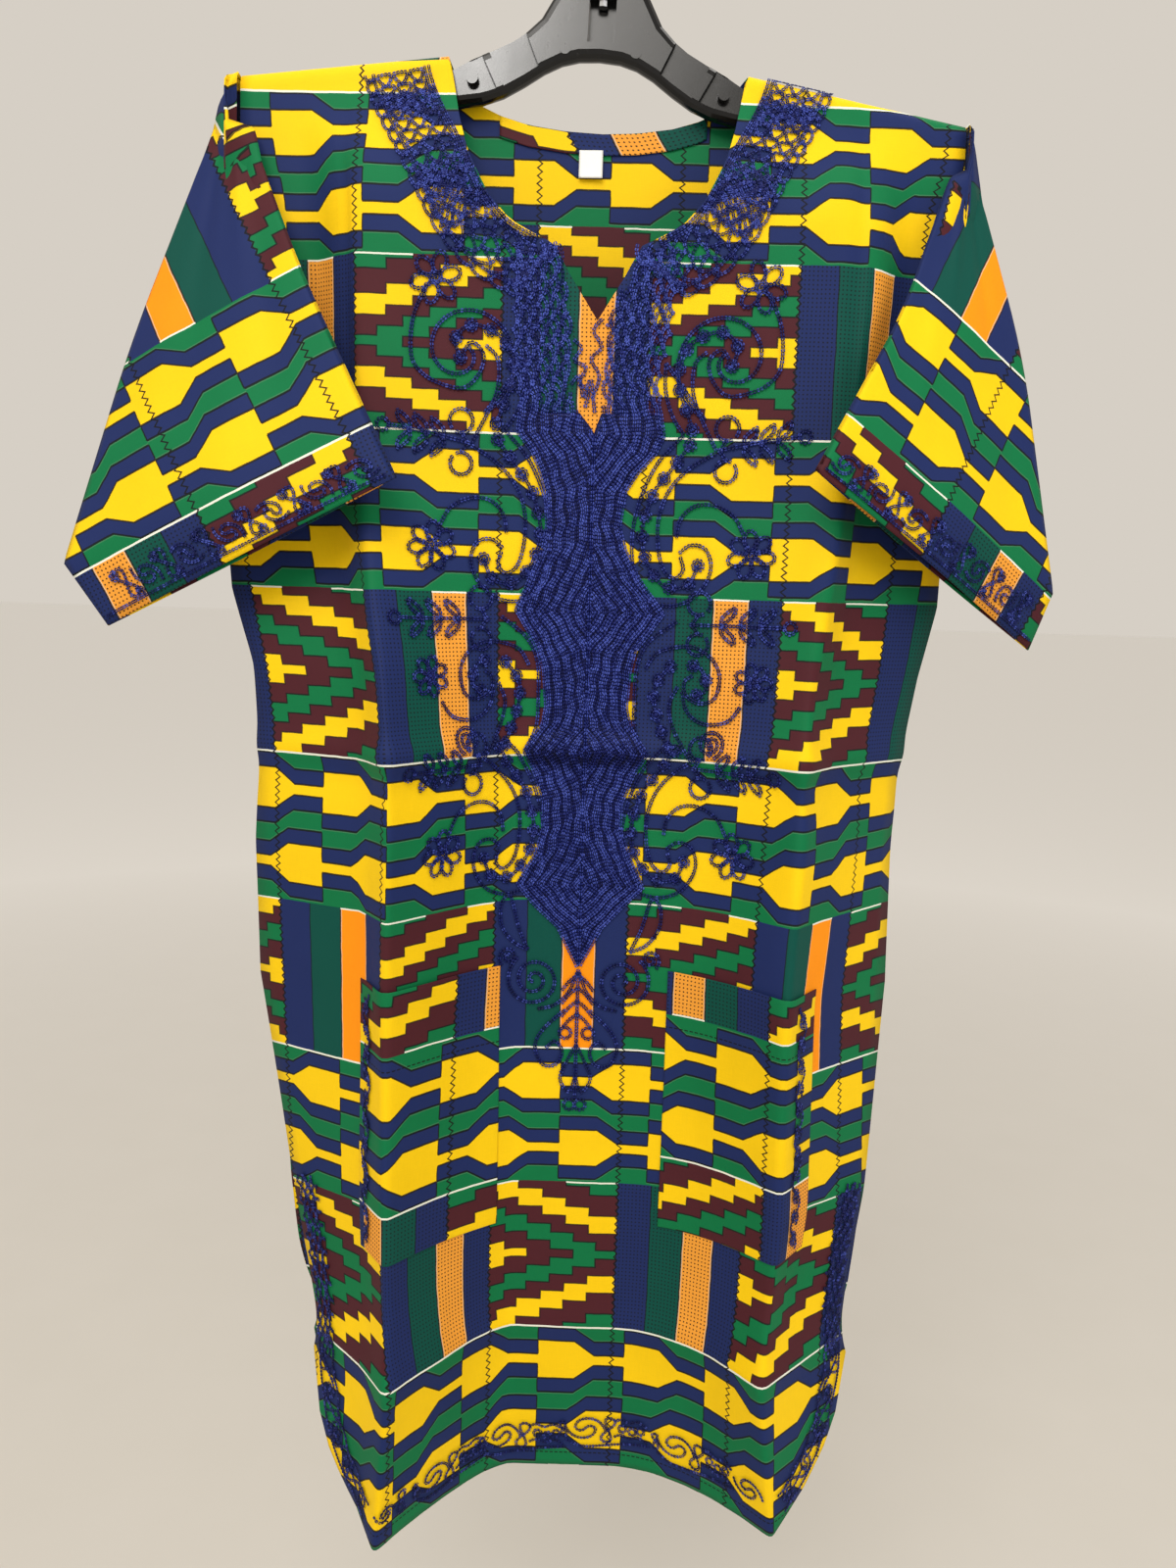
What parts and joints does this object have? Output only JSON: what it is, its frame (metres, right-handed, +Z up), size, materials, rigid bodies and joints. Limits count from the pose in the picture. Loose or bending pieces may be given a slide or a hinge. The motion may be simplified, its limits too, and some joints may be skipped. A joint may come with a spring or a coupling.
{
  "type": "dashiki shirt and hanger",
  "caption": "Short sleeved dashiki in kente print cotton with a scooped, notched neck, patch pockets and side slits, hanging flat on a moulded hanger.",
  "frame": {"origin": "hang point: inside top of the hanger's hook, where a rail or peg bears", "axes": "+Z up, the shirt's front faces -Y, +X to the viewer's right"},
  "size_m": [0.6067, 0.1234, 1.0166],
  "materials": {
    "printed_cotton": "matt plain weave, wax print",
    "pocket_cotton": "matt plain weave, wax print",
    "bias_facing": "matt plain weave",
    "label_satin": "satin tape, bare",
    "black_plastic": "moulded, glossy",
    "plated_wire": "bright plated"
  },
  "bodies": {
    "root": {"front_panel": "printed_cotton", "back_panel": "printed_cotton", "sleeve_left": "printed_cotton", "sleeve_right": "printed_cotton", "pocket_left": "pocket_cotton", "pocket_right": "pocket_cotton", "back_neck_facing": "bias_facing", "size_label": "label_satin", "hanger_body": "black_plastic", "hanger_hook": "plated_wire"}
  },
  "joints": []
}
